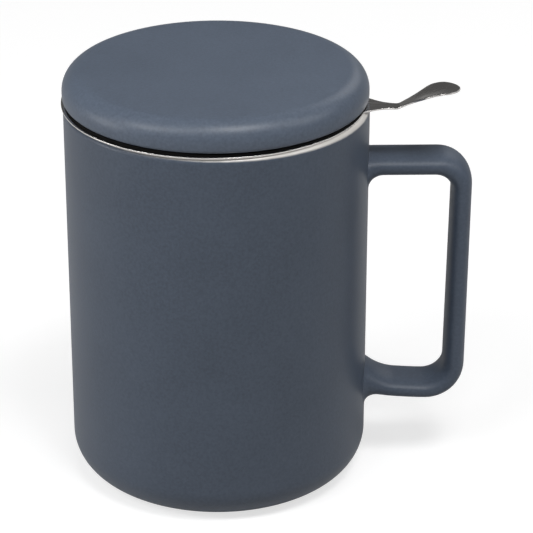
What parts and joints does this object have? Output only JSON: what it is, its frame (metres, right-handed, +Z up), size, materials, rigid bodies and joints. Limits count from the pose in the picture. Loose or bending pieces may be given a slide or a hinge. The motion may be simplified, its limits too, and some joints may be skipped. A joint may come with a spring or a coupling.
{
  "type": "lidded tea mug with infuser",
  "caption": "Straight-sided porcelain tea mug with a square handle, a lift-off round lid and a perforated steel infuser basket that hangs on the lip by a flat rim with a spoon-shaped tab.",
  "frame": {"origin": "centre of the foot, on the table", "axes": "+Z up along the cup's axis, +X towards the handle"},
  "size_m": [0.116, 0.086, 0.1226],
  "materials": {
    "outer_glaze": "matte slate-blue glaze, white glaze inside",
    "lid_glaze": "matte slate-blue glaze",
    "polished_steel": "polished stainless steel",
    "perforated_steel": "satin perforated stainless steel",
    "seal": "matte black silicone"
  },
  "bodies": {
    "mug": {"mug_body": "outer_glaze", "mug_handle": "outer_glaze"},
    "infuser": {"infuser_rim": "polished_steel", "basket_wall": "perforated_steel", "basket_floor": "perforated_steel"},
    "lid": {"lid": "lid_glaze", "lid_seal": "seal"}
  },
  "joints": [
    {"name": "infuser_lift", "type": "slide", "parent": "mug", "child": "infuser", "axis": [0, 0, 1], "range_m": [0, 0.12]},
    {"name": "lid_lift", "type": "slide", "parent": "infuser", "child": "lid", "axis": [0, 0, 1], "range_m": [0, 0.06]}
  ]
}
